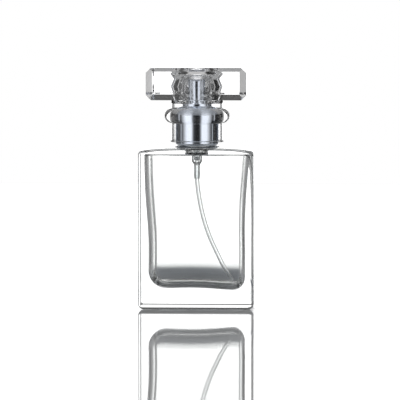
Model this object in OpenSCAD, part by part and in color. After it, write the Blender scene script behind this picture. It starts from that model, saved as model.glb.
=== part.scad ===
// Aftershave bottle: a heavy glass body with a crimped fine-mist pump and a
// clear emerald-cut cap. Millimetres, +Z up, +X to the right, front towards -Y.
// The origin is at the middle of the base. The nozzle faces the back, +Y.

/* [Glass body] */
// Width of the glass body
bottle_w = 46; // [44:0.5:54]
// Depth of the glass body, front to back
bottle_d = 26; // [26:0.5:30]
// Height of the glass body up to its shoulder
bottle_h = 64.4; // [56:0.2:80]
// Radius along the upright edges and around the shoulder
edge_r = 1.2; // [0.8:0.1:1.6]
// Radius around the foot of the body
foot_r = 2.2; // [1.6:0.1:2.6]
// How much lower the shoulder is at its ends than in the middle
crown = 1.3; // [0:0.1:1.5]
// Thickness of the heavy glass base
base_t = 8; // [6:0.5:10]
// Thickness of the front and back walls
wall_t = 4; // [3.6:0.1:4.4]
// Thickness of the side walls just under the shoulder
side_t = 2; // [1.8:0.1:2.4]
// How much further the side walls swell inwards at mid-height
waist = 1.7; // [0:0.1:2.5]
// Height of the arch under the base
push_up = 0.5; // [0.2:0.1:0.8]

/* [Neck finish] */
// Height of the neck above the shoulder
neck_h = 11.6; // [11.5:0.1:13]
// Radius of the bead that the pump is crimped under
bead_r = 7.5; // [7.4:0.05:7.6]
// Radius of the neck below the bead
throat_r = 6.4; // [6.2:0.05:6.5]
// Radius of the bore of the neck
bore_r = 4.5; // [4.4:0.05:4.6]

/* [Pump] */
// Travel of the pump from rest to fully pressed
stroke = 4.2; // [3:0.1:4.3]
// Outer radius of the stem
stem_r = 1.5; // [1.4:0.05:1.55]
// Radius of the cylinder that the piston slides in
chamber_r = 2.8; // [2.7:0.05:2.85]
// Outer radius of the dip tube
tube_r = 0.85; // [0.75:0.05:0.9]
// Outer radius of the decorative collar
collar_r = 8.6; // [8.6:0.05:8.8]
// Outer radius of the actuator
actuator_r = 5.2; // [5:0.05:5.2]
// Height of the actuator's metal shell
actuator_h = 8.6; // [8.4:0.1:9]

/* [Cap] */
// Width of the clear block
block_w = 40; // [36:0.5:50]
// Depth of the clear block, front to back
block_d = 26; // [25:0.5:32]
// Height of the clear block
block_h = 13; // [12.6:0.1:15]
// Bevels around the front and back of the block: at its ends, its top and its bottom
end_bevel = 2.7; // [1:0.1:3]
top_bevel = 1.5; // [1:0.1:2.2]
bottom_bevel = 2.5; // [1:0.1:3]
// Straight cut across each corner of the block
block_cut = 2.1; // [1:0.1:4]
// Outer radius of the skirt below the block
skirt_r = 10.4; // [10.3:0.05:10.6]
// Section radius of the half-round ring on the skirt
ring_r = 3.05; // [2:0.05:3.1]
// How far the cap is drawn straight up
cap_lift = 45; // [30:1:60]

/* [Hidden] */

round_fn = 96;              // facets of the preview's round surfaces
running = 0.05;             // radial clearance of a running fit
apart = 0.3;                // clearance between pieces that move past each other
eps = 0.01;                 // overshoot of a cut past the face it opens

// Levels, from the base up
land_z = bottle_h + neck_h;                // sealing face of the glass
gasket_top = land_z + 0.8;
flange_top = gasket_top + 0.8;             // top of the pump housing's flange
plate_t = 0.35;                            // sheet thickness of the ferrule
ferrule_top = flange_top + plate_t;
collar_t = 0.4;                            // sheet thickness of the collar
collar_bottom = bottle_h + 0.7;
shoulder_r = 2.6;                          // radius of the collar's shoulder
collar_top = ferrule_top + 0.05 + shoulder_r;
guide_r = actuator_r + apart + collar_t;   // outer radius of the collar's upper guide
guide_top = collar_top + 3.4;

// Cavity of the glass body
cavity_top = bottle_h - 2.5;
floor_r = [5.5, 7];         // floor radius along X and along Y
roof_r = 0.8;               // radius where the walls meet the shoulder
upright_r = [3.6, 2.8];     // radius of the cavity's upright corners, left and right
wave = 0.22;                // depth of the uneven waves in the moulded walls

// Pump, inside the neck
chamber_floor = land_z - 9.6;
nose_r = 2.1;               // outer radius of the slim lower end
spring_seat_z = land_z - 14.8;
spring_bore_r = 1.4;
ball_r = 0.9;
ball_z = spring_seat_z - 1.45;
ball_rise = 0.5;            // room above the ball
socket_top = land_z - 18.6;
socket_bottom = land_z - 24.3;
socket_bore_r = tube_r + 0.01;
turret_r = 3.2;             // radius of the turret's upper boss
turret_top = land_z + 4.6;
seal_bottom = land_z - 0.8;
piston_bottom = chamber_floor + stroke + 0.4;
piston_top = piston_bottom + 2.4;
stem_bottom = piston_bottom + 0.4;
stem_top = land_z + 12.4;
stem_bore_r = 0.5;
poppet_foot = chamber_floor + stroke - 1.1;
poppet_tip = seal_bottom - 0.3;
poppet_open = 0.3;          // how far the poppet opens under pressure
wire_r = 0.17;
coil_r = spring_bore_r - wire_r - 0.21;
coil_count = 8;             // sprung turns between the two dead end turns

// Actuator
shell_t = 0.35;
actuator_bottom = ferrule_top + stroke + 0.65;
actuator_top = actuator_bottom + actuator_h;
nozzle_z = actuator_top - 2.2;
nozzle_r = 1.4;
nozzle_l = 2;

// Cap
block_bottom = land_z + 7.4;
block_top = block_bottom + block_h;
skirt_t = 0.9;
skirt_bottom = land_z - 9.6;
ring_z = land_z + 0.85;
// Outside of the sleeve within the block, as [radius, height over the bottom of the block]: a belly
// between two narrow places, and a crest near the top
sleeve_steps = [[9.9, 0], [9.3, 2.2], [10.4, 5.3], [9.1, 8.3], [10.6, 10.3]];
sleeve_top_r = 8.2;
sleeve_bore_r = sleeve_steps[3].x - 1;
sleeve_top = block_top - 0.8;
sleeve_roof = block_top - 2;
sleeve_dish = 0.5;          // how much lower the sleeve's top is in its middle

// Points of an arc about c, from angle a to angle b
function arc(c, r, a, b, n = 6) =
    [for (i = [0:n]) c + r * [cos(a + (b - a) * i / n), sin(a + (b - a) * i / n)]];

// 0 below 0, 1 above 1, smooth between
function ease(t) = let (s = min(1, max(0, t))) s * s * (3 - 2 * s);

// How far a wall has curved inwards at height h above the start of its radius r
function inset(h, r) = h >= r ? 0 : r - sqrt(r * r - (r - h) * (r - h));

// Body of revolution of an outline given as [radius, height] points
module revolve(outline) rotate_extrude($fn = round_fn) polygon(outline);

module tube(r, inner_r, bottom, top)
    revolve([[inner_r, bottom], [r, bottom], [r, top], [inner_r, top]]);

module rounded_rect(w, h, r) {
    square([w - 2 * r, h], center = true);
    square([w, h - 2 * r], center = true);
    for (x = [-1, 1], y = [-1, 1])
        translate([x * (w / 2 - r), y * (h / 2 - r)]) circle(r, $fn = 48);
}

// Closed solid through rings of points, each ring of the same count
module skin(rings) {
    n = len(rings[0]);
    last = len(rings) - 1;
    polyhedron(
        points = [for (ring = rings, p = ring) p],
        faces = concat(
            [[for (i = [0:n - 1]) i]],
            [for (k = [0:last - 1], i = [0:n - 1])
                [k * n + i, (k + 1) * n + i, (k + 1) * n + (i + 1) % n, k * n + (i + 1) % n]],
            [[for (i = [n - 1:-1:0]) last * n + i]]
        ),
        convexity = 6
    );
}

// Closed solid with a hole through it: its last ring joins its first
module hollow_skin(rings) {
    n = len(rings[0]);
    count = len(rings);
    polyhedron(
        points = [for (ring = rings, p = ring) p],
        faces = [for (k = [0:count - 1], i = [0:n - 1])
            let (next = (k + 1) % count, j = (i + 1) % n)
            [k * n + i, next * n + i, next * n + j, k * n + j]],
        convexity = 6
    );
}

// ---- glass ----

// Outline of the body seen along one of its sides: rounded at the foot and the shoulder, and lower by a
// crown at the ends of the shoulder
module upright_outline(half, crown) {
    across = [for (a = [-90:5:90]) half * sin(a)];
    foot = [for (u = across) [u, inset(half - abs(u), foot_r)]];
    shoulder = [for (u = across) [-u, bottle_h - crown * pow(abs(u) / half, 4) - inset(half - abs(u), edge_r)]];
    polygon(concat(foot, shoulder));
}

module glass_blank() {
    intersection() {
        linear_extrude(bottle_h) rounded_rect(bottle_w, bottle_d, edge_r);
        rotate([90, 0, 0])
            linear_extrude(bottle_d + 2, center = true) upright_outline(bottle_w / 2, crown);
        rotate([90, 0, 90])
            linear_extrude(bottle_w + 2, center = true) upright_outline(bottle_d / 2, 0);
    }
}

module neck_blank() {
    swell_r = bottle_d / 2 - edge_r - 0.4;      // foot of the gentle rise around the neck
    root = 1;                                   // radius where the neck leaves the shoulder
    lip = 0.7;                                  // radius of the bead's upper edge
    revolve(concat(
        [[0, bottle_h - 2], [swell_r, bottle_h - 2], [swell_r, bottle_h]],
        [[throat_r + 2, bottle_h + 0.55]],
        arc([throat_r + root, bottle_h + 0.6 + root], root, 270, 180),
        [[throat_r, land_z - 4.6], [bead_r, land_z - 3.5]],
        arc([bead_r - lip, land_z - lip], lip, 0, 90),
        [[0, land_z]]
    ));
}

// Half-width of the cavity at height z on side s, -1 left or 1 right
function cavity_x(z, s) =
    bottle_w / 2 - side_t - waist * (1 - ease((z - bottle_h * 0.42) / (bottle_h * 0.6)))
    + wave * sin(z * 8 + 90 * s);

// Half-depth of the cavity at height z
function cavity_y(z) = bottle_d / 2 - wall_t - 0.3 * sin(z * 180 / bottle_h);

// The floor is a little uneven, higher in the middle than at the right
function floor_wave(x) = 0.35 * cos(x * 9) - 0.02 * x;

// One level of the cavity: a rounded rectangle that closes in towards floor and roof
function cavity_ring(z) =
    let (
        up = z - base_t,
        roof = inset(cavity_top - z, roof_r),
        y = cavity_y(z) - inset(up, floor_r.y) - roof,
        fade = pow(1 - up / (cavity_top - base_t), 4)
    )
    [for (q = [0:3], i = [0:6])
        let (
            a = 90 * q + 15 * i,
            s = q == 0 || q == 3 ? 1 : -1,
            t = q < 2 ? 1 : -1,
            r = min(upright_r[s < 0 ? 0 : 1], y),
            x = cavity_x(z, s) - inset(up, floor_r.x) - roof,
            px = s * (x - r) + r * cos(a),
            py = t * (y - r) + r * sin(a)
        )
        [px, py, z + fade * floor_wave(px)]];

module cavity() {
    low = [for (i = [0:8]) base_t + floor_r.y * (1 - cos(90 * i / 8))];
    wall_steps = 11;
    wall_low = base_t + floor_r.y;
    wall_high = cavity_top - roof_r;
    wall = [for (i = [1:wall_steps]) wall_low + (wall_high - wall_low) * i / wall_steps];
    high = [for (i = [1:5]) wall_high + roof_r * sin(90 * i / 5)];
    skin([for (z = concat(low, wall, high)) cavity_ring(z)]);
}

module neck_bore() {
    flare = 0.6;                                // radius where the bore opens into the cavity
    revolve(concat(
        [[0, cavity_top - 0.4], [bore_r + flare, cavity_top - 0.4]],
        arc([bore_r + flare, cavity_top - 0.1 + flare], flare, 270, 180),
        [[bore_r, land_z + eps], [0, land_z + eps]]
    ));
}

// Flat arch under the base, so that the bottle stands on its rim
module base_arch() {
    w = bottle_w - 8;
    d = bottle_d - 8;
    x_r = (w * w / 4 + push_up * push_up) / (2 * push_up);
    y_r = (d * d / 4 + push_up * push_up) / (2 * push_up);
    intersection() {
        translate([0, 0, push_up - x_r]) rotate([90, 0, 0])
            cylinder(r = x_r, h = bottle_d, center = true, $fn = 360);
        translate([0, 0, push_up - y_r]) rotate([0, 90, 0])
            cylinder(r = y_r, h = bottle_w, center = true, $fn = 360);
        translate([-w / 2, -d / 2, -1]) cube([w, d, 2]);
    }
}

module glass_bottle() {
    color([0.86, 0.9, 0.9, 0.35])
        difference() {
            union() {
                glass_blank();
                neck_blank();
            }
            cavity();
            neck_bore();
            base_arch();
        }
}

// ---- closure ----

module neck_gasket() {
    color("whitesmoke") tube(bead_r - 0.3, bore_r + 0.1, land_z, gasket_top);
}

// Aluminium cup over the neck, its lower edge rolled in under the bead
module crimp_ferrule() {
    inner = bead_r + 0.03;
    outer = inner + plate_t;
    hem = land_z - 4.9;                         // lowest point of the rolled edge
    corner = 0.6;
    color([0.8, 0.81, 0.83])
        revolve(concat(
            [[turret_r + 0.1, flange_top], [inner - corner + plate_t, flange_top]],
            arc([inner - corner + plate_t, flange_top - corner + plate_t], corner - plate_t, 90, 0),
            [[inner, land_z - 3.55], [throat_r + 0.5, hem + 0.3], [throat_r + 0.5, hem]],
            [[inner - 0.3, hem], [outer, hem + 0.9]],
            arc([outer - corner, ferrule_top - corner], corner, 0, 90),
            [[turret_r + 0.1, ferrule_top]]
        ));
}

// Plastic ring that grips the ferrule and carries the polished collar
module collar_insert() {
    skin_r = collar_r - collar_t - 0.02;        // its outside, against the collar
    grip_r = bead_r + plate_t + 0.05;           // its inside, against the ferrule
    ledge = land_z - 5.1;
    color([0.93, 0.93, 0.92])
        revolve([
            [throat_r + 0.45, collar_bottom + 0.9],
            [skin_r - 0.5, collar_bottom + 0.6],
            [skin_r, collar_bottom + 1.1],
            [skin_r, ferrule_top],
            [skin_r - 0.35, ferrule_top + 0.5],
            [guide_r, ferrule_top + 0.5],
            [guide_r, ferrule_top + 0.02],
            [grip_r, ferrule_top + 0.02],
            [grip_r, ledge],
            [throat_r + 0.45, ledge],
        ]);
}

// Polished aluminium sleeve with a rounded shoulder and an upper guide
module collar() {
    hem_r = 0.9;                                // radius of the turned-in lower edge
    waist_r = guide_r + 0.1;                    // where the shoulder ends
    rim = 0.2;
    color([0.82, 0.84, 0.88])
        revolve(concat(
            arc([collar_r - hem_r, collar_bottom + hem_r], hem_r, 270, 360),
            arc([collar_r - shoulder_r, collar_top - shoulder_r], shoulder_r, 0, 90, 10),
            [[guide_r, collar_top]],
            arc([guide_r - rim, guide_top - rim], rim, 0, 90, 3),
            [[guide_r - collar_t, guide_top], [guide_r - collar_t, collar_top - collar_t]],
            [[waist_r - collar_t, collar_top - collar_t]],
            arc([collar_r - shoulder_r, collar_top - shoulder_r], shoulder_r - collar_t, 90, 0, 10),
            arc([collar_r - hem_r, collar_bottom + hem_r], hem_r - collar_t, 360, 270)
        ));
}

// ---- pump ----

module pump_housing() {
    body_r = chamber_r + 0.7;
    taper_top = chamber_floor - 0.4;
    nose_top = chamber_floor - 1.1;
    stub_r = 1.35;                              // outer radius of the dip tube's socket
    cup_z = socket_top + 1.7;                   // centre of the rounded cup around the ball
    seat_r = ball_r / sqrt(2);                  // where the ball touches its 45 degree seat
    seat_z = ball_z - ball_r / sqrt(2) - 0.02;
    cage_r = ball_r + 0.1;
    hole_r = 0.45;
    color([0.92, 0.94, 0.95, 0.7])
        revolve(concat(
            [[hole_r, seat_z - (seat_r - hole_r)], [cage_r, seat_z + cage_r - seat_r]],
            [[cage_r, spring_seat_z], [spring_bore_r, spring_seat_z]],
            [[spring_bore_r, chamber_floor], [chamber_r, chamber_floor + 0.3]],
            [[chamber_r, land_z], [turret_r + 0.65, land_z], [turret_r + 0.65, flange_top]],
            [[bead_r - 0.4, flange_top], [bead_r - 0.4, gasket_top], [body_r + 0.4, gasket_top]],
            [[body_r + 0.4, land_z - 1.5], [body_r, land_z - 2], [body_r, taper_top]],
            [[nose_r, nose_top]],
            arc([0, cup_z], nose_r, 0, -acos(stub_r / nose_r), 6),
            [[stub_r - 0.05, socket_top - 0.6], [1.08, socket_bottom]],
            [[socket_bore_r, socket_bottom], [socket_bore_r, socket_top - 0.4]],
            [[hole_r, socket_top - 0.1]]
        ));
}

module pump_turret() {
    color([0.93, 0.94, 0.94, 0.8])
        revolve([
            [stem_r + running, land_z], [turret_r + 0.6, land_z],
            [turret_r + 0.6, flange_top - 0.02], [turret_r, flange_top - 0.02],
            [turret_r, turret_top - 0.4], [turret_r - 0.4, turret_top],
            [stem_r + running, turret_top],
        ]);
}

module stem_seal() {
    color([0.2, 0.2, 0.21]) tube(chamber_r - 0.05, stem_r + 0.03, seal_bottom, land_z);
}

module inlet_ball() {
    color([0.7, 0.71, 0.73]) translate([0, 0, ball_z]) sphere(ball_r, $fn = 48);
}

// Helix of round wire with a dead turn at each end
module return_spring() {
    low = spring_seat_z + wire_r + 0.02;
    high = poppet_foot - wire_r - 0.02;
    dead = 2 * wire_r + 0.02;
    pitch = (high - low - 2 * dead) / coil_count;
    turns = coil_count + 2;
    steps = 14;
    sides = 8;
    function height(t) =
        low + dead * min(t, 1) + pitch * max(0, min(t - 1, coil_count)) + dead * max(0, t - 1 - coil_count);
    color([0.7, 0.71, 0.73])
        skin([for (k = [0:turns * steps])
            let (t = k / steps, a = 360 * t)
            [for (i = [sides:-1:1])
                let (b = 360 * i / sides, r = coil_r + wire_r * cos(b))
                [r * cos(a), r * sin(a), height(t) + wire_r * sin(b)]]]);
}

// Valve rod that the return spring holds up against the stem
module poppet() {
    rod_r = 0.85;
    tip_slope = 0.6;
    color([0.88, 0.9, 0.9])
        revolve([
            [0, poppet_foot - 2.5], [0.4, poppet_foot - 2.5], [0.6, poppet_foot - 2.2],
            [0.6, poppet_foot], [spring_bore_r - 0.08, poppet_foot],
            [spring_bore_r - 0.08, poppet_foot + 0.6], [rod_r, poppet_foot + 0.6],
            [rod_r, poppet_tip - tip_slope], [0.25, poppet_tip], [0, poppet_tip],
        ]);
}

// Soft piston with a thin wiping lip at each end
module piston() {
    wipe_r = chamber_r - 0.03;
    web_r = chamber_r - 0.5;
    color([0.9, 0.92, 0.94])
        revolve([
            [stem_r + 0.01, stem_bottom], [2, stem_bottom], [wipe_r - 0.3, piston_bottom],
            [wipe_r, piston_bottom], [wipe_r, piston_bottom + 0.4],
            [web_r, piston_bottom + 0.9], [web_r, piston_top - 0.9],
            [wipe_r, piston_top - 0.4], [wipe_r, piston_top], [wipe_r - 0.3, piston_top],
            [2, piston_top - 0.4], [stem_r + 0.01, piston_top - 0.4],
        ]);
}

module stem() {
    socket_r = 1.05;                            // room around the poppet's rod
    stop_r = 2.3;                               // shoulder that rests under the seal
    color([0.92, 0.93, 0.94, 0.9])
        revolve([
            [socket_r, stem_bottom], [stem_r, stem_bottom], [stem_r, piston_top + 0.05],
            [stop_r, piston_top + 0.25], [stop_r, seal_bottom - 0.05],
            [stem_r, seal_bottom - 0.05], [stem_r, stem_top], [stem_bore_r, stem_top],
            [stem_bore_r, poppet_tip + 0.1], [socket_r, poppet_tip - 0.55],
        ]);
}

// Centre line of the dip tube: straight out of its socket, then bending to the right
tube_top = socket_top - 0.5;
bend = [[0, socket_bottom], [0.7, socket_bottom - 9], [2.7, socket_bottom - 18.2],
        [6.4, base_t + (socket_bottom - base_t) * 0.4]];
tube_end = [bottle_w / 2 - 9.2, base_t + 1.9];

function bezier(p, t) =
    pow(1 - t, 3) * p[0] + 3 * t * pow(1 - t, 2) * p[1] + 3 * t * t * (1 - t) * p[2] + pow(t, 3) * p[3];

module dip_tube() {
    bore = 0.5;
    sides = 12;
    bend_steps = 16;
    line = concat(
        [[0, tube_top]],
        [for (k = [0:bend_steps]) bezier(bend, k / bend_steps)],
        [for (k = [1:3]) bend[3] + (tube_end - bend[3]) * k / 3]
    );
    last = len(line) - 1;
    // Direction of the centre line at a point, from its two neighbours
    function along(k) =
        let (d = line[min(k + 1, last)] - line[max(k - 1, 0)]) d / norm(d);
    function ring(k, r) =
        [for (i = [0:sides - 1])
            let (a = 360 * i / sides, d = along(k))
            [line[k].x + r * cos(a) * -d.y, r * sin(a), line[k].y + r * cos(a) * d.x]];
    color([0.9, 0.93, 0.94, 0.6])
        hollow_skin([
            for (k = [0:last]) ring(k, tube_r),
            for (k = [last:-1:0]) ring(k, bore)
        ]);
}

// ---- actuator ----

module nozzle_axis() translate([0, 0, nozzle_z]) rotate([-90, 0, 0]) children();

module actuator_core() {
    core_r = actuator_r - shell_t - 0.01;
    roof = actuator_top - shell_t - 0.01;
    clear_top = turret_top + stroke + apart;    // hollow that swallows the turret
    color([0.9, 0.91, 0.92])
        difference() {
            revolve([
                [0, clear_top], [turret_r + apart, clear_top],
                [turret_r + apart, actuator_bottom + 0.2], [core_r, actuator_bottom + 0.2],
                [core_r, roof], [0, roof],
            ]);
            translate([0, 0, clear_top - eps])
                cylinder(r = stem_r + 0.03, h = stem_top + 0.05 - clear_top, $fn = 48);
            cylinder(r = stem_bore_r, h = nozzle_z, $fn = 48);
            nozzle_axis() cylinder(r = stem_bore_r, h = actuator_r, $fn = 48);
            nozzle_axis() translate([0, 0, actuator_r - shell_t - nozzle_l])
                cylinder(r = nozzle_r, h = nozzle_l + 1, $fn = 48);
        }
}

module actuator_shell() {
    rim = 0.5;
    inner_r = actuator_r - shell_t;
    color([0.82, 0.84, 0.88])
        difference() {
            revolve(concat(
                [[inner_r, actuator_bottom], [actuator_r, actuator_bottom]],
                arc([actuator_r - rim, actuator_top - rim], rim, 0, 90),
                [[0, actuator_top], [0, actuator_top - shell_t]],
                [[inner_r, actuator_top - shell_t]]
            ));
            nozzle_axis() cylinder(r = nozzle_r + 0.15, h = actuator_r + 1, $fn = 48);
        }
}

// Small cup with the spray orifice in its face
module nozzle_insert() {
    orifice_r = 0.16;
    back = actuator_r - shell_t - nozzle_l;
    front = back + nozzle_l + 0.1;
    color([0.93, 0.93, 0.93])
        nozzle_axis()
            revolve([
                [nozzle_r - 0.45, back], [nozzle_r - 0.01, back], [nozzle_r - 0.01, front],
                [0.6, front], [orifice_r, front - 0.35], [orifice_r, front - 0.6],
                [nozzle_r - 0.45, front - 0.6],
            ]);
}

// ---- cap ----

// Rectangle with straight cuts across its lower and its upper corners
module cut_rect(w, h, low_cut, high_cut)
    polygon([
        [-w / 2 + low_cut, -h / 2], [w / 2 - low_cut, -h / 2],
        [w / 2, -h / 2 + low_cut], [w / 2, h / 2 - high_cut],
        [w / 2 - high_cut, h / 2], [-w / 2 + high_cut, h / 2],
        [-w / 2, h / 2 - high_cut], [-w / 2, -h / 2 + low_cut],
    ]);

function sleeve_outline(gap) = concat(
    [for (p = sleeve_steps) [p.x + gap, block_bottom + p.y]],
    [[sleeve_top_r + gap, sleeve_top + gap], [0, sleeve_top - sleeve_dish + gap]]
);

// Clear block, bevelled along the four sides of its front and back
module cap_block() {
    color([0.9, 0.93, 0.94, 0.35])
        difference() {
            translate([0, 0, block_bottom + block_h / 2])
                intersection() {
                    rotate([90, 0, 0])
                        linear_extrude(block_d, center = true)
                            cut_rect(block_w, block_h, block_cut, block_cut);
                    linear_extrude(block_h, center = true)
                        cut_rect(block_w, block_d, end_bevel, end_bevel);
                    rotate([90, 0, 90])
                        linear_extrude(block_w, center = true)
                            cut_rect(block_d, block_h, bottom_bevel, top_bevel);
                }
            revolve(concat(
                [[0, block_bottom - 1], [sleeve_steps[0].x + running, block_bottom - 1]],
                sleeve_outline(running)
            ));
        }
}

// Clear sleeve: skirt with a half-round ring and a lip, and the part inside the block
module cap_sleeve() {
    skirt_bore_r = skirt_r - skirt_t;
    snap_r = collar_r + running;                // bead that grips the collar
    lip_r = 0.3;
    seat = block_bottom - running;
    color([0.92, 0.95, 0.96, 0.45])
        difference() {
            union() {
                revolve(concat(
                    [[0, skirt_bottom], [skirt_r, skirt_bottom], [skirt_r, seat]],
                    [[sleeve_steps[0].x, seat]],
                    sleeve_outline(0)
                ));
                rotate_extrude($fn = round_fn)
                    translate([skirt_r - 0.35, ring_z]) circle(ring_r, $fn = 48);
                rotate_extrude($fn = round_fn)
                    translate([skirt_r, skirt_bottom + lip_r]) circle(lip_r, $fn = 32);
            }
            revolve([
                [0, skirt_bottom - 1], [skirt_bore_r, skirt_bottom - 1],
                [skirt_bore_r, ring_z - ring_r], [snap_r, ring_z - ring_r + 0.9],
                [snap_r, ring_z + ring_r - 1.2], [skirt_bore_r - 0.1, ring_z + ring_r - 0.3],
                [skirt_bore_r - 0.1, block_bottom - 1.6], [sleeve_bore_r, block_bottom],
                [sleeve_bore_r, sleeve_roof], [0, sleeve_roof],
            ]);
        }
}

glass_bottle();
neck_gasket();
crimp_ferrule();
collar();
collar_insert();
pump_housing();
pump_turret();
stem_seal();
inlet_ball();
return_spring();
poppet();
piston();
stem();
dip_tube();
actuator_core();
actuator_shell();
nozzle_insert();
cap_block();
cap_sleeve();
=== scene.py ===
"""Looks of an aftershave bottle: thick glass, a clear bevelled cap, polished metal and the pump inside.

Every length is in metres. Pieces are lofted or turned about the bottle's axis, the world's Z, and take
their places from the boxes of the CAD nodes that they stand for.
"""

import math

import bmesh
import bpy
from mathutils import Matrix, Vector


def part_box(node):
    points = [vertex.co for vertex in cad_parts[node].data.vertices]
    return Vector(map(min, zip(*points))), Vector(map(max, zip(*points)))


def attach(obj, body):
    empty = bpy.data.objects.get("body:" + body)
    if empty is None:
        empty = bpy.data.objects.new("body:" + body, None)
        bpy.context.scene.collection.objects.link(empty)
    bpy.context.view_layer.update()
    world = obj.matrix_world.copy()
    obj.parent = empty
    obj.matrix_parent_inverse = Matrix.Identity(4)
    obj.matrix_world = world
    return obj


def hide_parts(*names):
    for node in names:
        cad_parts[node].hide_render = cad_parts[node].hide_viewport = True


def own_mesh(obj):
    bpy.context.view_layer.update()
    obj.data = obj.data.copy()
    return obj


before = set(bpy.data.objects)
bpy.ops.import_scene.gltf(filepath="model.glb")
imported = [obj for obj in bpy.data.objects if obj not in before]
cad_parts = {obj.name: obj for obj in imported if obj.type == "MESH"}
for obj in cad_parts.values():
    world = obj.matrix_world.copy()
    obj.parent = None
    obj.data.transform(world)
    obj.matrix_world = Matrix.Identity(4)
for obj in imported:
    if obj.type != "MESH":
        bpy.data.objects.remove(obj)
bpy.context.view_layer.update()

MM = 0.001
ROUND_STEPS = 144           # segments around a turned piece
ARC_STEPS = 8               # segments along a rounded edge
SMOOTH_ANGLE = math.radians(32)


# ---- places read from the frame ----

glass_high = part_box("glass_bottle")[1]
collar_low, collar_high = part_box("collar")
housing_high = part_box("pump_housing")[1]
spring_low, spring_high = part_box("return_spring")
tube_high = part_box("dip_tube")[1]
ball_low, ball_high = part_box("inlet_ball")
button_low, button_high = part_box("actuator_shell")
nozzle_low, nozzle_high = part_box("nozzle_insert")
block_low, block_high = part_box("cap_block")
sleeve_low, sleeve_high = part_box("cap_sleeve")

LAND_Z = glass_high.z                       # sealing face of the neck
SHOULDER_Z = collar_low.z - 0.7 * MM        # the collar starts a little above the glass
BASE_T = 8 * MM                             # thickness of the glass under the cavity


# ---- small geometry helpers ----

def ease(t):
    """0 below 0, 1 above 1, smooth between."""
    s = min(1, max(0, t))
    return s * s * (3 - 2 * s)


def arc(centre, radius, start, end, steps=ARC_STEPS):
    """Points of an arc about (r, z), with angles in degrees."""
    points = []
    for i in range(steps + 1):
        a = math.radians(start + (end - start) * i / steps)
        points.append((centre[0] + radius * math.cos(a), centre[1] + radius * math.sin(a)))
    return points


def inset(height, radius):
    """How far a wall has curved inwards at a height above the start of its radius."""
    if height >= radius:
        return 0
    return radius - math.sqrt(radius ** 2 - (radius - max(height, 0)) ** 2)


def finish_mesh(bm, name, material, smooth=True):
    """Turns a bmesh into an object with outward normals, flat faces kept flat and curves smooth."""
    bmesh.ops.recalc_face_normals(bm, faces=bm.faces)
    mesh = bpy.data.meshes.new(name)
    bm.to_mesh(mesh)
    bm.free()
    if smooth:
        mesh.polygons.foreach_set("use_smooth", [True] * len(mesh.polygons))
        mesh.set_sharp_from_angle(angle=SMOOTH_ANGLE)
    mesh.materials.append(material)
    obj = bpy.data.objects.new(name, mesh)
    bpy.context.scene.collection.objects.link(obj)
    if smooth:
        weighted = obj.modifiers.new("flat_faces", "WEIGHTED_NORMAL")
        weighted.keep_sharp = True
        weighted.mode = "FACE_AREA"
    return obj


def add_ring(bm, points):
    return [bm.verts.new(p) for p in points]


def join_rings(bm, a, b):
    """A band of quads between two rings of the same count."""
    n = len(a)
    for i in range(n):
        bm.faces.new((a[i], a[(i + 1) % n], b[(i + 1) % n], b[i]))


def fill_flat(bm, *rings):
    """Fills one flat ring, or the flat band between two rings of any counts."""
    edges = []
    for ring in rings:
        for i, vert in enumerate(ring):
            following = ring[(i + 1) % len(ring)]
            edges.append(bm.edges.get((vert, following)) or bm.edges.new((vert, following)))
    bmesh.ops.triangle_fill(bm, use_beauty=True, use_dissolve=False, edges=edges)


def turn_into(bm, outline, steps=ROUND_STEPS, closed=True):
    """Turns an outline of (r, z) points about the axis and returns its rings.

    A point on the axis makes a ring of one vertex.
    """
    rings = []
    for r, z in outline:
        if r < 1e-7:
            rings.append([bm.verts.new((0, 0, z))])
            continue
        angles = [2 * math.pi * i / steps for i in range(steps)]
        rings.append(add_ring(bm, [(r * math.cos(a), r * math.sin(a), z) for a in angles]))
    pairs = list(zip(rings, rings[1:]))
    if closed:
        pairs.append((rings[-1], rings[0]))
    for a, b in pairs:
        if len(a) == 1 and len(b) == 1:
            continue
        if len(a) == 1 or len(b) == 1:
            pole, ring = (a[0], b) if len(a) == 1 else (b[0], a)
            for i in range(len(ring)):
                bm.faces.new((pole, ring[i], ring[(i + 1) % len(ring)]))
        else:
            join_rings(bm, a, b)
    return rings


def turned(name, outline, material, steps=ROUND_STEPS):
    """A turned solid. Its outline runs from axis to axis, or around a ring that clears the axis."""
    bm = bmesh.new()
    turn_into(bm, outline, steps)
    return finish_mesh(bm, name, material)


def rounded_ring(left, right, half_depth, left_r, right_r, z):
    """Points of a rectangle at height z, which may be a function of x and y, with rounded corners."""
    corner_steps, long_steps, short_steps = 8, 28, 12
    corners = [(right - right_r, 1, right_r), (left_r - left, 1, left_r),
               (left_r - left, -1, left_r), (right - right_r, -1, right_r)]
    arcs = []
    for k, (x, side, radius) in enumerate(corners):
        arcs.append(arc((x, side * (half_depth - radius)), radius, 90 * k, 90 * k + 90, corner_steps))
    flat = []
    for k, corner in enumerate(arcs):
        (x0, y0), (x1, y1) = corner[-1], arcs[(k + 1) % 4][0]
        steps = long_steps if k in (0, 2) else short_steps
        flat += corner
        flat += [(x0 + (x1 - x0) * i / steps, y0 + (y1 - y0) * i / steps) for i in range(1, steps)]
    return [(x, y, z(x, y) if callable(z) else z) for x, y in flat]


# ---- materials ----

def new_material(name):
    material = bpy.data.materials.new(name)
    material.use_nodes = True
    nodes = material.node_tree.nodes
    return material, nodes, material.node_tree.links, nodes["Principled BSDF"]


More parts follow.
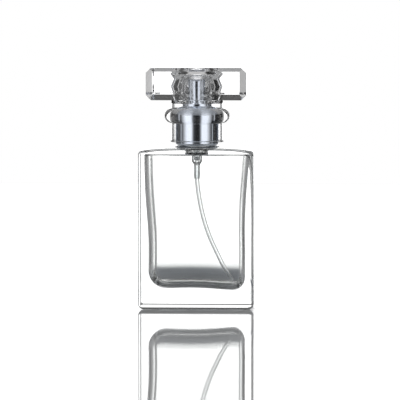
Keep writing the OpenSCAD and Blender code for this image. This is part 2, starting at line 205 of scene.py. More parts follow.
def add_noise(nodes, links, scale, detail=2.0, stretch=(1, 1, 1)):
    """Noise fixed to the object's own coordinates."""
    place = nodes.new("ShaderNodeTexCoord")
    mapping = nodes.new("ShaderNodeMapping")
    mapping.inputs["Scale"].default_value = stretch
    noise = nodes.new("ShaderNodeTexNoise")
    noise.inputs["Scale"].default_value = scale
    noise.inputs["Detail"].default_value = detail
    links.new(place.outputs["Object"], mapping.inputs["Vector"])
    links.new(mapping.outputs["Vector"], noise.inputs["Vector"])
    return noise.outputs["Fac"]


def map_range(nodes, links, value, low, high, start=0, end=1):
    """Runs from low to high while the value runs from start to end."""
    node = nodes.new("ShaderNodeMapRange")
    node.inputs["From Min"].default_value = start
    node.inputs["From Max"].default_value = end
    node.inputs["To Min"].default_value = low
    node.inputs["To Max"].default_value = high
    links.new(value, node.inputs["Value"])
    return node.outputs["Result"]


def tint(nodes, links, value, first, second):
    """Colours between two, along a value."""
    ramp = nodes.new("ShaderNodeValToRGB")
    ramp.color_ramp.elements[0].color = (*first, 1)
    ramp.color_ramp.elements[1].color = (*second, 1)
    ramp.color_ramp.elements[0].position = 0.3
    ramp.color_ramp.elements[1].position = 0.7
    links.new(value, ramp.inputs["Fac"])
    return ramp.outputs["Color"]


def add_bump(nodes, links, shader, value, strength, distance):
    bump = nodes.new("ShaderNodeBump")
    bump.inputs["Strength"].default_value = strength
    bump.inputs["Distance"].default_value = distance
    links.new(value, bump.inputs["Height"])
    links.new(bump.outputs["Normal"], shader.inputs["Normal"])


def clear_material(name, ior, first, second, rough, ripple_scale, ripple):
    """Clear glass or plastic: faint colour drift, near-zero roughness and shallow moulding ripples."""
    material, nodes, links, shader = new_material(name)
    shader.inputs["Transmission Weight"].default_value = 1.0
    shader.inputs["IOR"].default_value = ior
    cloud = add_noise(nodes, links, 60)
    links.new(tint(nodes, links, cloud, first, second), shader.inputs["Base Color"])
    links.new(map_range(nodes, links, cloud, rough[0], rough[1]), shader.inputs["Roughness"])
    ripples = add_noise(nodes, links, ripple_scale, 1.0)
    add_bump(nodes, links, shader, ripples, 1.0, ripple)
    return material


def metal_material(name, first, second, rough, grain, grain_stretch):
    """Metal with a drift of colour and a fine turned or drawn grain."""
    material, nodes, links, shader = new_material(name)
    shader.inputs["Metallic"].default_value = 1.0
    cloud = add_noise(nodes, links, 180, 3.0)
    links.new(tint(nodes, links, cloud, first, second), shader.inputs["Base Color"])
    lines = add_noise(nodes, links, 900, 2.0, grain_stretch)
    links.new(map_range(nodes, links, lines, rough[0], rough[1]), shader.inputs["Roughness"])
    add_bump(nodes, links, shader, lines, 1.0, grain)
    return material


def plastic_material(name, first, second, rough):
    """Moulded plastic with a faint orange peel."""
    material, nodes, links, shader = new_material(name)
    shader.inputs["IOR"].default_value = 1.49
    cloud = add_noise(nodes, links, 300, 3.0)
    links.new(tint(nodes, links, cloud, first, second), shader.inputs["Base Color"])
    peel = add_noise(nodes, links, 1500, 2.0)
    links.new(map_range(nodes, links, peel, rough[0], rough[1]), shader.inputs["Roughness"])
    add_bump(nodes, links, shader, peel, 0.3, 0.02 * MM)
    return material


glass = clear_material("bottle_glass", 1.52, (0.975, 0.985, 0.98), (0.985, 0.993, 0.99),
                       (0.0, 0.004), 90, 0.006 * MM)
acrylic = clear_material("cap_acrylic", 1.49, (0.985, 0.985, 0.99), (0.992, 0.992, 0.995),
                         (0.0, 0.004), 120, 0.003 * MM)
sleeve_clear = clear_material("sleeve_plastic", 1.49, (0.98, 0.985, 0.99), (0.99, 0.992, 0.995),
                              (0.0, 0.01), 150, 0.006 * MM)
pump_clear = clear_material("pump_clear_plastic", 1.49, (0.9, 0.92, 0.93), (0.95, 0.96, 0.965),
                            (0.02, 0.08), 400, 0.01 * MM)
tube_clear = clear_material("tube_plastic", 1.5, (0.93, 0.94, 0.94), (0.97, 0.975, 0.975),
                            (0.02, 0.06), 300, 0.01 * MM)
polished = metal_material("polished_aluminium", (0.74, 0.79, 0.88), (0.79, 0.84, 0.92),
                          (0.02, 0.05), 0.0002 * MM, (1, 1, 0.02))
drawn = metal_material("drawn_aluminium", (0.68, 0.69, 0.71), (0.76, 0.77, 0.79),
                       (0.25, 0.38), 0.002 * MM, (1, 1, 0.05))
steel = metal_material("stainless_wire", (0.52, 0.53, 0.55), (0.62, 0.63, 0.65),
                       (0.12, 0.22), 0.001 * MM, (1, 1, 1))
white_plastic = plastic_material("white_plastic", (0.80, 0.81, 0.82), (0.86, 0.87, 0.88), (0.22, 0.34))
gasket_white = plastic_material("gasket_polyethylene", (0.76, 0.76, 0.75), (0.82, 0.82, 0.81), (0.4, 0.55))
seal_black = plastic_material("seal_rubber", (0.02, 0.02, 0.022), (0.035, 0.035, 0.037), (0.45, 0.6))


# ---- the glass ----

EDGE_R = 1.2 * MM           # radius around the shoulder
LEFT_EDGE_R, RIGHT_EDGE_R = 0.9 * MM, 2.0 * MM          # upright edges
FOOT_R = 2.2 * MM           # radius around the foot
CROWN = 1.3 * MM            # how much lower the shoulder is at its ends
PUSH_UP = 0.5 * MM          # arch under the base
STANDING_RIM = 4 * MM       # width of the rim that the bottle stands on
NECK_SWELL_R = glass_high.y - EDGE_R - 0.4 * MM
THROAT_R = 6.4 * MM
BEAD_R = 7.5 * MM
BORE_R = 4.5 * MM
CAVITY_TOP = SHOULDER_Z - 2.5 * MM
SIDE_T = 2 * MM             # side walls just under the shoulder
LEFT_WAIST, RIGHT_WAIST = 1.75 * MM, 1.65 * MM          # how much further they swell inwards
WAIST_END, WAIST_FADE = 0.42, 0.6           # up to where, and over what height, as shares of the shoulder's
WALL_T = 4 * MM             # front and back walls
WALL_BOW = 0.3 * MM         # how much they bulge into the cavity at mid-height
FLOOR_LEFT_R, FLOOR_RIGHT_R = 7.5 * MM, 5 * MM          # where the side walls meet the cavity's floor
FLOOR_DEPTH_R = 5.5 * MM    # how far the front and back walls curve inwards to the floor
FLOOR_RISE = 10.5 * MM      # and the height over which they do
ROOF_R = 0.8 * MM
LEFT_R, RIGHT_R = 3.6 * MM, 2.8 * MM        # upright corners of the cavity
WAVE, WAVE_TURN = 0.22 * MM, 8              # depth of the waves in the side walls, degrees for each mm
FLOOR_WAVE, FLOOR_TURN = 0.35 * MM, 9       # the same for the floor
FLOOR_SLOPE = 0.02          # the floor's fall towards the right


def cavity_half_width(z, side):
    """Half-width of the cavity at height z on the left (-1) or the right (1)."""
    waist = LEFT_WAIST if side < 0 else RIGHT_WAIST
    narrow = waist * (1 - ease((z - SHOULDER_Z * WAIST_END) / (SHOULDER_Z * WAIST_FADE)))
    return glass_high.x - SIDE_T - narrow + WAVE * math.sin(math.radians(z / MM * WAVE_TURN - 90 * side))


def cavity_half_depth(z):
    """The front and back walls bow a little."""
    return glass_high.y - WALL_T - WALL_BOW * math.sin(math.pi * z / SHOULDER_Z)


def floor_wave(x):
    """The floor is higher in the middle than at its ends, and lowest at the right."""
    return FLOOR_WAVE * math.cos(math.radians(x / MM * FLOOR_TURN)) - FLOOR_SLOPE * x


def cavity_ring(z):
    """One level of the cavity, drawn in near the floor and the roof."""
    up = z - BASE_T
    roof = inset(CAVITY_TOP - z, ROOF_R)
    left = cavity_half_width(z, -1) - inset(up, FLOOR_LEFT_R) - roof
    right = cavity_half_width(z, 1) - inset(up, FLOOR_RIGHT_R) - roof
    depth = cavity_half_depth(z) - inset(up * FLOOR_DEPTH_R / FLOOR_RISE, FLOOR_DEPTH_R) - roof
    fade = (1 - up / (CAVITY_TOP - BASE_T)) ** 4
    largest_r = depth * 0.98                    # a corner's radius stays under the half-depth
    return rounded_ring(left, right, depth, min(LEFT_R, largest_r), min(RIGHT_R, largest_r),
                        lambda x, y: z + fade * floor_wave(x))


def base_arch(x, y):
    """Height of the arched base over a point."""
    half_w, half_d = glass_high.x - STANDING_RIM, glass_high.y - STANDING_RIM
    rise_x = PUSH_UP * (1 - (x / half_w) ** 2)
    rise_y = PUSH_UP * (1 - (y / half_d) ** 2)
    return max(0, min(rise_x, rise_y))


def shrunken_rings(bm, ring, height, factors):
    """Ever smaller copies of a ring, towards the axis, each point at the height given for its place."""
    rings = []
    for f in factors:
        rings.append(add_ring(bm, [(x * f, y * f, height(x * f, y * f)) for x, y, _ in ring]))
    return rings


def body_ring(bm, gap, z):
    """A level of the outer skin, drawn in by a gap."""
    half_w, half_d = glass_high.x - gap, glass_high.y - gap
    return add_ring(bm, rounded_ring(half_w, half_w, half_d, LEFT_EDGE_R, RIGHT_EDGE_R, z))


def shoulder_top(x):
    """The shoulder is slightly crowned: lower towards its ends."""
    return SHOULDER_Z - CROWN * (abs(x) / glass_high.x) ** 4


def glass_body(bm):
    """Outer skin of the body from the middle of the base to the foot of the neck. Returns its last ring."""
    half_w, half_d = glass_high.x - FOOT_R, glass_high.y - FOOT_R
    foot = rounded_ring(half_w, half_w, half_d, LEFT_EDGE_R, RIGHT_EDGE_R, 0)
    factors = [0.04] + [0.1 * k for k in range(1, 10)] + [0.93, 0.97]
    rings = shrunken_rings(bm, foot, base_arch, factors)
    fill_flat(bm, rings[0])
    foot_steps = ARC_STEPS + 2
    for i in range(foot_steps + 1):
        a = math.radians(90 * i / foot_steps)
        rings.append(body_ring(bm, FOOT_R * (1 - math.sin(a)), FOOT_R * (1 - math.cos(a))))
    wall_steps = 24
    for i in range(1, wall_steps + 1):
        t = i / wall_steps
        rings.append(body_ring(bm, 0, lambda x, y: FOOT_R * (1 - t) + (shoulder_top(x) - EDGE_R) * t))
    for i in range(1, ARC_STEPS + 1):
        a = math.radians(90 * i / ARC_STEPS)
        rings.append(body_ring(bm, EDGE_R * (1 - math.cos(a)),
                               lambda x, y: shoulder_top(x) - EDGE_R * (1 - math.sin(a))))
    rim = [vert.co.copy() for vert in rings[-1]]
    top_steps = 6
    round_r = NECK_SWELL_R + 0.2 * MM           # the last ring, just outside the foot of the neck
    for i in range(1, top_steps + 1):
        level = []
        for p in rim:
            q = p.lerp(p * (round_r / math.hypot(p.x, p.y)), i / top_steps)
            level.append((q.x, q.y, shoulder_top(q.x)))
        rings.append(add_ring(bm, level))
    for a, b in zip(rings, rings[1:]):
        join_rings(bm, a, b)
    return rings[-1]


def neck_outline():
    """From the foot of the swelling around the neck, over the bead and down the bore to the cavity."""
    root, lip, mouth, flare = 1.0 * MM, 0.7 * MM, 0.4 * MM, 0.6 * MM
    rise_height, rise_r = 0.55 * MM, THROAT_R + 1.6 * MM
    rise_steps = 8
    outline = []
    for k in range(rise_steps + 1):
        t = k / rise_steps
        height = rise_height * t * t * (1.5 - 0.5 * t)
        outline.append((NECK_SWELL_R + (rise_r - NECK_SWELL_R) * t, SHOULDER_Z + height))
    outline += arc((THROAT_R + root, SHOULDER_Z + 0.6 * MM + root), root, 260, 180)
    outline += [(THROAT_R, LAND_Z - 4.8 * MM), (THROAT_R + 0.15 * MM, LAND_Z - 4.5 * MM)]
    outline += [(BEAD_R - 0.15 * MM, LAND_Z - 3.6 * MM), (BEAD_R, LAND_Z - 3.3 * MM)]
    outline += arc((BEAD_R - lip, LAND_Z - lip), lip, 0, 90)
    outline += arc((BORE_R + mouth, LAND_Z - mouth), mouth, 90, 180)
    outline += arc((BORE_R + flare, CAVITY_TOP + flare), flare, 180, 270)
    return outline


def cavity_levels():
    """Heights of the cavity's rings, from its roof down, closer together where the walls curve."""
    roof_steps, wall_steps, floor_steps = 10, 40, 28
    floor_top, wall_top = BASE_T + FLOOR_RISE, CAVITY_TOP - ROOF_R
    heights = []
    for i in range(roof_steps + 1):
        heights.append(CAVITY_TOP - ROOF_R * (1 - math.sin(math.radians(90 - 90 * i / roof_steps))))
    for i in range(1, wall_steps + 1):
        heights.append(wall_top + (floor_top - wall_top) * i / wall_steps)
    for i in range(1, floor_steps + 1):
        heights.append(BASE_T + FLOOR_RISE * (1 - math.sin(math.radians(90 * i / floor_steps))))
    return heights


def build_bottle():
    bm = bmesh.new()
    rim = glass_body(bm)
    neck = turn_into(bm, neck_outline(), closed=False)
    fill_flat(bm, rim, neck[0])
    rings = [add_ring(bm, cavity_ring(z)) for z in cavity_levels()]
    fill_flat(bm, neck[-1], rings[0])
    for a, b in zip(rings, rings[1:]):
        join_rings(bm, a, b)
    fill_flat(bm, rings[-1])
    bottle = finish_mesh(bm, "bottle_clear_glass", glass)
    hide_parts("glass_bottle")
    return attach(bottle, "bottle")


# ---- collar and button ----

def build_collar():
    sheet = 0.4 * MM
    outer = collar_high.x
    guide = button_high.x + 0.7 * MM            # outer radius of the upper guide
    shoulder = 2.6 * MM
    hem, rim = 0.9 * MM, 0.2 * MM
    top = collar_high.z - 3.4 * MM              # where the guide rises from the shoulder
    low = collar_low.z
    outline = arc((outer - hem, low + hem), hem, 270, 360)
    outline += arc((outer - shoulder, top - shoulder), shoulder, 0, 90, 14)
    outline += arc((guide + rim, top + rim), rim, 270, 180, 4)
    outline += arc((guide - sheet / 2, collar_high.z - sheet / 2), sheet / 2, 0, 180)
    outline += [(guide - sheet, top - sheet)]
    outline += arc((outer - shoulder, top - shoulder), shoulder - sheet, 90, 0, 14)
    outline += arc((outer - hem, low + hem), hem - sheet, 360, 270)
    collar = turned("collar_sleeve", outline, polished)
    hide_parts("collar")
    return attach(collar, "bottle")


def build_button():
    sheet, rim, edge = 0.35 * MM, 0.5 * MM, 0.1 * MM
    hole_gap = 0.16 * MM                        # room around the nozzle
    outer, low, top = button_high.x, button_low.z, button_high.z
    outline = [(0, top)] + arc((outer - rim, top - rim), rim, 90, 0)
    outline += [(outer, low + edge), (outer - edge, low), (outer - sheet, low)]
    outline += [(outer - sheet, top - sheet), (0, top - sheet)]
    button = turned("button_cover", outline, polished)
    centre = (nozzle_low.z + nozzle_high.z) / 2
    cut_round_hole(button, nozzle_high.x + hole_gap, centre, outer)
    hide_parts("actuator_shell")
    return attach(button, "actuator")


def cut_round_hole(piece, radius, z, reach):
    """Bores a round hole from the axis out through the back, towards +Y."""
    bm = bmesh.new()
    bmesh.ops.create_cone(bm, cap_ends=True, segments=64, radius1=radius, radius2=radius, depth=reach * 1.4)
    cutter_mesh = bpy.data.meshes.new("hole")
    bm.to_mesh(cutter_mesh)
    bm.free()
    cutter = bpy.data.objects.new("hole", cutter_mesh)
    bpy.context.scene.collection.objects.link(cutter)
    cutter.rotation_euler = (math.pi / 2, 0, 0)
    cutter.location = (0, reach * 0.9, z)
    subtract(piece, cutter)


def subtract(piece, cutter):
    """Cuts one object out of another and removes the cutter."""
    bpy.context.view_layer.update()
    cut = piece.modifiers.new("cut", "BOOLEAN")
    cut.operation = "DIFFERENCE"
    cut.solver = "EXACT"
    cut.object = cutter
    while piece.modifiers[0] != cut:
        bpy.context.view_layer.objects.active = piece
        bpy.ops.object.modifier_move_to_index(modifier=cut.name, index=0)
    with bpy.context.temp_override(object=piece):
        bpy.ops.object.modifier_apply(modifier=cut.name)
    mesh = cutter.data
    bpy.data.objects.remove(cutter)
    bpy.data.meshes.remove(mesh)
    piece.data.set_sharp_from_angle(angle=SMOOTH_ANGLE)


# ---- cap ----

BLOCK_CUT = 2.1 * MM        # straight cut across each corner of the block
END_BEVEL, TOP_BEVEL, BOTTOM_BEVEL = 2.7 * MM, 1.5 * MM, 2.5 * MM       # around its front and back
SKIRT_R = 10.4 * MM
# Outside of the sleeve within the block, as (radius, height over the bottom of the block) in millimetres
SLEEVE_STEPS = [(9.9, 0), (9.3, 2.2), (10.4, 5.3), (9.1, 8.3), (10.6, 10.3)]
SLEEVE_TOP_R = 8.2 * MM
FIT_GAP = 0.05 * MM         # between the sleeve and the block, and between the sleeve and the collar
SLEEVE_DISH = 0.5 * MM      # how much lower the sleeve's top is in its middle
FACET_EDGE = 0.12 * MM      # softening of the edges between facets


def sleeve_outline(gap):
    """From the bottom of the block up: a belly between two narrow places, a crest and a dished top."""
    outline = [(r * MM + gap, block_low.z + z * MM) for r, z in SLEEVE_STEPS]
    return outline + [(SLEEVE_TOP_R + gap, sleeve_high.z + gap), (0, sleeve_high.z - SLEEVE_DISH + gap)]


def block_planes():
    """Each flat cut on the block, as a point on it and its outward direction."""
    right, back = block_high.x, block_high.y
    low, high = block_low.z, block_high.z
    planes = []
    for side in (-1, 1):
        for end, up in ((low, -1), (high, 1)):
            planes.append(((side * (right - BLOCK_CUT), 0, end), (side, 0, up)))
        for turn in (-1, 1):
            planes.append(((side * (right - END_BEVEL), turn * back, 0), (side, turn, 0)))
    for turn in (-1, 1):
        planes.append(((0, turn * back, low + BOTTOM_BEVEL), (0, turn, -1)))
        planes.append(((0, turn * back, high - TOP_BEVEL), (0, turn, 1)))
    return planes


def bevelled_block(bm):
    """A block with a bevel along each side of its front and back, and each corner cut straight through."""
    bmesh.ops.create_cube(bm, size=1)
    middle = (block_low + block_high) / 2
    for vert in bm.verts:
        for k in range(3):
            vert.co[k] = middle[k] + vert.co[k] * (block_high[k] - block_low[k])
    for point, outward in block_planes():
        cut = bmesh.ops.bisect_plane(bm, geom=bm.verts[:] + bm.edges[:] + bm.faces[:], plane_co=point,
                                     plane_no=outward, clear_outer=True)
        bmesh.ops.holes_fill(bm, edges=[e for e in cut["geom_cut"] if isinstance(e, bmesh.types.BMEdge)])
    bmesh.ops.recalc_face_normals(bm, faces=bm.faces)
    bmesh.ops.bevel(bm, geom=bm.edges[:], offset=FACET_EDGE, segments=2, profile=0.5,
                    affect="EDGES", clamp_overlap=True)


def build_block():
    bm = bmesh.new()
    bevelled_block(bm)
    block = finish_mesh(bm, "cap_clear_block", acrylic)
    bore = sleeve_outline(FIT_GAP)
    under = block_low.z - 2 * MM                # where the cutter for the bore starts
    subtract(block, turned("bore", [(0, under), (bore[0][0], under)] + bore, acrylic))
    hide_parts("cap_block")
    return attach(block, "cap")


def build_sleeve():
    wall, lip, edge = 0.9 * MM, 0.3 * MM, 0.15 * MM
    narrowest = SLEEVE_STEPS[3][0]
    bore = (narrowest - 1) * MM
    roof = block_high.z - 2 * MM
    snap = collar_high.x + FIT_GAP              # bead that grips the collar
    bottom, seat = sleeve_low.z, block_low.z - FIT_GAP
    ring_r = 3.05 * MM
    ring_c = (SKIRT_R - 0.35 * MM, LAND_Z + 0.85 * MM)
    reach = math.degrees(math.acos((SKIRT_R - ring_c[0]) / ring_r))
    inner = SKIRT_R - wall
    outline = [(inner, bottom)]
    outline += arc((SKIRT_R, bottom + lip), lip, 270, 450, 12)
    outline += arc(ring_c, ring_r, -reach, reach, 28)
    outline += [(SKIRT_R, seat - edge), (SKIRT_R - edge, seat), (SLEEVE_STEPS[0][0] * MM, seat)]
    outline += sleeve_outline(0) + [(0, roof), (bore, roof), (bore, block_low.z)]
    upper = inner - 0.1 * MM                    # the skirt is a little narrower over the ring
    outline += [(upper, block_low.z - 1.6 * MM), (upper, ring_c[1] + ring_r - 0.3 * MM)]
    outline += [(snap, ring_c[1] + ring_r - 1.2 * MM), (snap, ring_c[1] - ring_r + 0.9 * MM)]
    outline += [(inner, ring_c[1] - ring_r)]
    sleeve = turned("cap_clear_sleeve", outline, sleeve_clear)
    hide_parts("cap_sleeve")
    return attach(sleeve, "cap")


# ---- pump ----

SOCKET_BOTTOM = LAND_Z - 24.3 * MM          # lower end of the dip tube's socket


def build_housing():
    body, chamber, nose, stub = 3.5 * MM, 2.8 * MM, 2.1 * MM, 1.35 * MM
    chamber_floor = LAND_Z - 9.6 * MM
    spring_seat = LAND_Z - 14.8 * MM
    spring_bore = 1.4 * MM
    ball_r = (ball_high.z - ball_low.z) / 2
    socket_top, socket_bottom = LAND_Z - 18.6 * MM, SOCKET_BOTTOM
    tube_bore = 0.86 * MM
    cage = ball_r + 0.1 * MM
    seat = ball_r / math.sqrt(2)
    seat_z = ball_low.z + ball_r - seat - 0.02 * MM
    hole = 0.45 * MM
    turret, flange, flange_t = 3.85 * MM, housing_high.x, 0.8 * MM
    fillet = 0.3 * MM
    outline = [(hole, seat_z - (seat - hole)), (cage, seat_z + cage - seat), (cage, spring_seat)]
    outline += [(spring_bore, spring_seat), (spring_bore, chamber_floor)]
    outline += [(chamber, chamber_floor + 0.3 * MM), (chamber, LAND_Z), (turret, LAND_Z)]
    outline += [(turret, housing_high.z), (flange, housing_high.z)]
    outline += [(flange, housing_high.z - flange_t), (body + 0.4 * MM, housing_high.z - flange_t)]
    outline += [(body + 0.4 * MM, LAND_Z - 1.5 * MM), (body, LAND_Z - 2 * MM)]
    outline += arc((body - fillet, chamber_floor - 0.2 * MM), fillet, 0, -60, 4)
    outline += arc((nose + fillet, chamber_floor - 1.3 * MM), fillet, 120, 180, 4)
    outline += arc((0, socket_top + 1.7 * MM), nose, 0, -math.degrees(math.acos(stub / nose)), 12)
    outline += [(stub - 0.05 * MM, socket_top - 0.6 * MM), (1.08 * MM, socket_bottom + 0.05 * MM)]
    outline += [(1.05 * MM, socket_bottom), (tube_bore, socket_bottom)]
    outline += [(tube_bore, socket_top - 0.4 * MM), (hole, socket_top - 0.1 * MM)]
    housing = turned("pump_clear_body", outline, pump_clear, 96)
    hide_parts("pump_housing")
    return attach(housing, "bottle")


def swept(bm, line, radius, sides):
    """Rings along a line of 3-D points that lies nearly in one plane."""
    rings = []
    for k, p in enumerate(line):
        along = (line[min(k + 1, len(line) - 1)] - line[max(k - 1, 0)]).normalized()
        across = Vector((0, 1, 0))
        outward = along.cross(across).normalized()
        ring = []
        for i in range(sides):
            a = 2 * math.pi * i / sides
            ring.append(p + outward * (radius * math.cos(a)) + across * (radius * math.sin(a)))
        rings.append(add_ring(bm, ring))
    return rings


def dip_tube_line():
    """Centre line of the dip tube: straight out of its socket, then bending to the right."""
    end = Vector((glass_high.x - 9.2 * MM, 0, BASE_T + 1.9 * MM))
    bend = [Vector((0, 0, SOCKET_BOTTOM)), Vector((0.7 * MM, 0, SOCKET_BOTTOM - 9 * MM)),
            Vector((2.7 * MM, 0, SOCKET_BOTTOM - 18.2 * MM)),
            Vector((6.4 * MM, 0, BASE_T + (SOCKET_BOTTOM - BASE_T) * 0.4))]
    line = [Vector((0, 0, tube_high.z))]
    steps = 48
    for k in range(steps + 1):
        t = k / steps
        weights = ((1 - t) ** 3, 3 * t * (1 - t) ** 2, 3 * t * t * (1 - t), t ** 3)
        line.append(sum((w * p for w, p in zip(weights, bend)), Vector()))
    line += [bend[3].lerp(end, k / 8) for k in range(1, 9)]
    return line


def build_dip_tube():
    line = dip_tube_line()
    sides = 28
    bm = bmesh.new()
    outer = swept(bm, line, 0.85 * MM, sides)
    inner = swept(bm, line, 0.5 * MM, sides)
    rings = outer + inner[::-1]
    for a, b in zip(rings, rings[1:] + rings[:1]):
        join_rings(bm, a, b)
    tube = finish_mesh(bm, "dip_tube_clear", tube_clear)
    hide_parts("dip_tube")
    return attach(tube, "bottle")


def build_spring():
    """Round wire with a dead turn at each end."""
    wire = 0.17 * MM
    coil = spring_high.x - wire
    low, high = spring_low.z + wire, spring_high.z - wire
    dead = 2 * wire + 0.02 * MM
    coils = 8
    pitch = (high - low - 2 * dead) / coils
    steps, sides = 40, 12
    bm = bmesh.new()
    rings = []
    for k in range((coils + 2) * steps + 1):
        t = k / steps
        z = low + dead * min(t, 1) + pitch * max(0, min(t - 1, coils)) + dead * max(0, t - 1 - coils)
        a = 2 * math.pi * t
        ring = []
        for i in range(sides):
            b = -2 * math.pi * i / sides
            r = coil + wire * math.cos(b)
            ring.append((r * math.cos(a), r * math.sin(a), z + wire * math.sin(b)))
        rings.append(add_ring(bm, ring))
    for a, b in zip(rings, rings[1:]):
        join_rings(bm, a, b)
    bm.faces.new(rings[0])
    bm.faces.new(rings[-1])
    spring = finish_mesh(bm, "spring_coil", steel)
    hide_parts("return_spring")
    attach(spring, "bottle")
    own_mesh(spring)
    return spring


CAD_MATERIALS = {
    "neck_gasket": gasket_white,
    "crimp_ferrule": drawn,
    "collar_insert": white_plastic,
    "pump_turret": white_plastic,
    "stem_seal": seal_black,
    "inlet_ball": steel,
    "poppet": white_plastic,
    "piston": white_plastic,
    "stem": white_plastic,
    "actuator_core": white_plastic,
    "nozzle_insert": white_plastic,
}


def dress_cad_nodes():
    """Gives the inner CAD nodes their materials."""
    for name, material in CAD_MATERIALS.items():
        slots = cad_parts[name].data.materials
        slots.clear()
        slots.append(material)


# ---- stage, light and camera ----

FLOOR_HALF = 0.75           # half the width of the floor, in metres
# painted shade: the floor's colour is greyer around SHADE_CENTRE, paling between SHADE_START and SHADE_END
SHADE_CENTRE = (0, 40 * MM, 0)          # the floor is greyer around this point, just behind the bottle
SHADE_START, SHADE_END = -10 * MM, 125 * MM


def add_floor():
    """A pale glossy floor with painted shade: its colour is greyer close to the bottle."""
    bm = bmesh.new()
    corners = ((-1, -1), (1, -1), (1, 1), (-1, 1))
    bm.faces.new([bm.verts.new((x * FLOOR_HALF, y * FLOOR_HALF, 0)) for x, y in corners])
    material, nodes, links, shader = new_material("pale_gloss_floor_painted_shade")
    shader.inputs["IOR"].default_value = 1.7
    cloud = add_noise(nodes, links, 6)
    place = nodes.new("ShaderNodeTexCoord")
    spread = nodes.new("ShaderNodeVectorMath")
    spread.operation = "DISTANCE"
    spread.inputs[1].default_value = SHADE_CENTRE
    links.new(place.outputs["Object"], spread.inputs[0])
    away = map_range(nodes, links, spread.outputs["Value"], 0, 1, SHADE_START, SHADE_END)
    # painted shade from the distance to SHADE_CENTRE, plus a little random tone from the cloud
    shade_and_drift = math_node(nodes, links, "MULTIPLY_ADD", cloud, 0.06, away)
    links.new(tint(nodes, links, shade_and_drift, (0.53, 0.56, 0.61), (0.93, 0.94, 0.95)), shader.inputs["Base Color"])
    links.new(map_range(nodes, links, cloud, 0.015, 0.03), shader.inputs["Roughness"])
    floor = finish_mesh(bm, "floor", material, smooth=False)


# Brightness by direction: degrees from straight behind the bottle, the same to the left and right.
SIDE_BOX = [(104, 0.15), (112, 0.5), (120, 0.85), (128, 1.15), (150, 1.15), (155, 0.85), (159, 0.4),
            (163, 0.12), (168, 0.03), (180, 0.02)]
LOW_LIGHT = [(0, 1.9), (14, 1.7), (18, 1.0), (21, 0.62), (24, 0.47), (28, 0.36), (32, 0.2), (36, 0.02),
             (85, 0.02), (88, 0.5), (92, 0.5), (95, 0.02)]
HIGH_LIGHT = [(0, 0.1), (45, 0.02), (101, 0.02)]
ROOF_LIGHT = 0.55
LOW_TO_HIGH = (8, 18)       # elevations between which the low light gives way to the high light
WALLS_TO_ROOF = (48, 62)    # and the high light to the roof light
LEFT_EXTRA = 0.05           # light that the left side has over the right
LEFT_EDGE = -0.4            # the x of a direction from which on it has it in full


def light_ramp(nodes, links, turn, stops):
    """Brightness around the horizon, from how far a direction is turned, 0 to 1 for half a circle."""
    node = nodes.new("ShaderNodeValToRGB")
    elements = node.color_ramp.elements
    elements.remove(elements[0])
    for k, (angle, value) in enumerate(stops):
        element = elements[0] if k == 0 else elements.new(angle / 180)
        element.position = angle / 180
        element.color = (value, value, value, 1)
    links.new(turn, node.inputs["Fac"])
    return node.outputs["Color"]


def blend_light(nodes, links, factor, first, second):
    """Blends two brightnesses, each a number or a socket."""
    mix = nodes.new("ShaderNodeMix")
    links.new(factor, mix.inputs["Factor"])
    for socket, light in (("A", first), ("B", second)):
        if isinstance(light, float):
            mix.inputs[socket].default_value = light
        else:
            links.new(light, mix.inputs[socket])
    return mix.outputs["Result"]


def rise(nodes, links, value, low, high):
    """0 under one elevation in degrees and 1 over another, from the sine of the elevation."""
    node = nodes.new("ShaderNodeMapRange")
    node.interpolation_type = "SMOOTHSTEP"
    node.inputs["From Min"].default_value = math.sin(math.radians(low))
    node.inputs["From Max"].default_value = math.sin(math.radians(high))
    links.new(value, node.inputs["Value"])
    return node.outputs["Result"]


def math_node(nodes, links, operation, *values):
    """One operation on numbers and sockets."""
    node = nodes.new("ShaderNodeMath")
    node.operation = operation
    for k, value in enumerate(values):
        if isinstance(value, (int, float)):
            node.inputs[k].default_value = value
        else:
            links.new(value, node.inputs[k])
    return node.outputs["Value"]


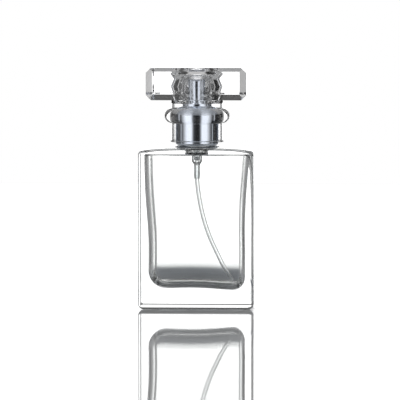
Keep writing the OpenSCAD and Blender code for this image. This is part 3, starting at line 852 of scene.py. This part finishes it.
def add_world():
    """A white panel behind, tall softboxes to the front left and right, and dark cards between them."""
    world = bpy.data.worlds.new("studio")
    bpy.context.scene.world = world
    world.use_nodes = True
    nodes, links = world.node_tree.nodes, world.node_tree.links
    nodes.clear()
    place = nodes.new("ShaderNodeTexCoord")
    split = nodes.new("ShaderNodeSeparateXYZ")
    links.new(place.outputs["Generated"], split.inputs[0])
    x, y, z = split.outputs
    turn = math_node(nodes, links, "ARCTAN2", x, y)
    half_turn = math_node(nodes, links, "DIVIDE", math_node(nodes, links, "ABSOLUTE", turn), math.pi)
    low = light_ramp(nodes, links, half_turn, LOW_LIGHT + SIDE_BOX)
    high = light_ramp(nodes, links, half_turn, HIGH_LIGHT + SIDE_BOX)
    height = math_node(nodes, links, "ABSOLUTE", z)
    walls = blend_light(nodes, links, rise(nodes, links, height, *LOW_TO_HIGH), low, high)
    left = map_range(nodes, links, x, LEFT_EXTRA, 0, LEFT_EDGE, 0)
    walls = math_node(nodes, links, "ADD", walls, left)
    room = blend_light(nodes, links, rise(nodes, links, z, *WALLS_TO_ROOF), walls, ROOF_LIGHT)
    path = nodes.new("ShaderNodeLightPath")
    seen = blend_light(nodes, links, path.outputs["Is Camera Ray"], room, 1.0)
    background = nodes.new("ShaderNodeBackground")
    background.inputs["Color"].default_value = (1, 1, 1, 1)
    links.new(seen, background.inputs["Strength"])
    output = nodes.new("ShaderNodeOutputWorld")
    links.new(background.outputs["Background"], output.inputs["Surface"])


VIEW_AZIMUTH = math.radians(2.4)
VIEW_ELEVATION = math.radians(3.9)


def add_camera():
    """A long lens a little above the bottle's middle, looking slightly down."""
    distance, width = 2.0, 0.16             # how far away, and what the frame takes in at the bottle
    target = Vector((1.15 * MM, 0, 43.0 * MM))
    data = bpy.data.cameras.new("camera")
    data.sensor_width = 36
    data.lens = data.sensor_width * distance / width
    camera = bpy.data.objects.new("camera", data)
    bpy.context.scene.collection.objects.link(camera)
    away = Vector((math.sin(VIEW_AZIMUTH) * math.cos(VIEW_ELEVATION),
                   -math.cos(VIEW_AZIMUTH) * math.cos(VIEW_ELEVATION), math.sin(VIEW_ELEVATION)))
    camera.location = target + away * distance
    camera.rotation_euler = (-away).to_track_quat("-Z", "Y").to_euler()
    bpy.context.scene.camera = camera


def set_light_paths():
    scene = bpy.context.scene
    scene.view_settings.view_transform = "Standard"
    scene.cycles.max_bounces = 24
    scene.cycles.transmission_bounces = 24
    scene.cycles.glossy_bounces = 12


add_camera()
set_light_paths()
add_world()
add_floor()
build_bottle()
build_collar()
build_button()
build_block()
build_sleeve()
build_housing()
build_dip_tube()
build_spring()
dress_cad_nodes()
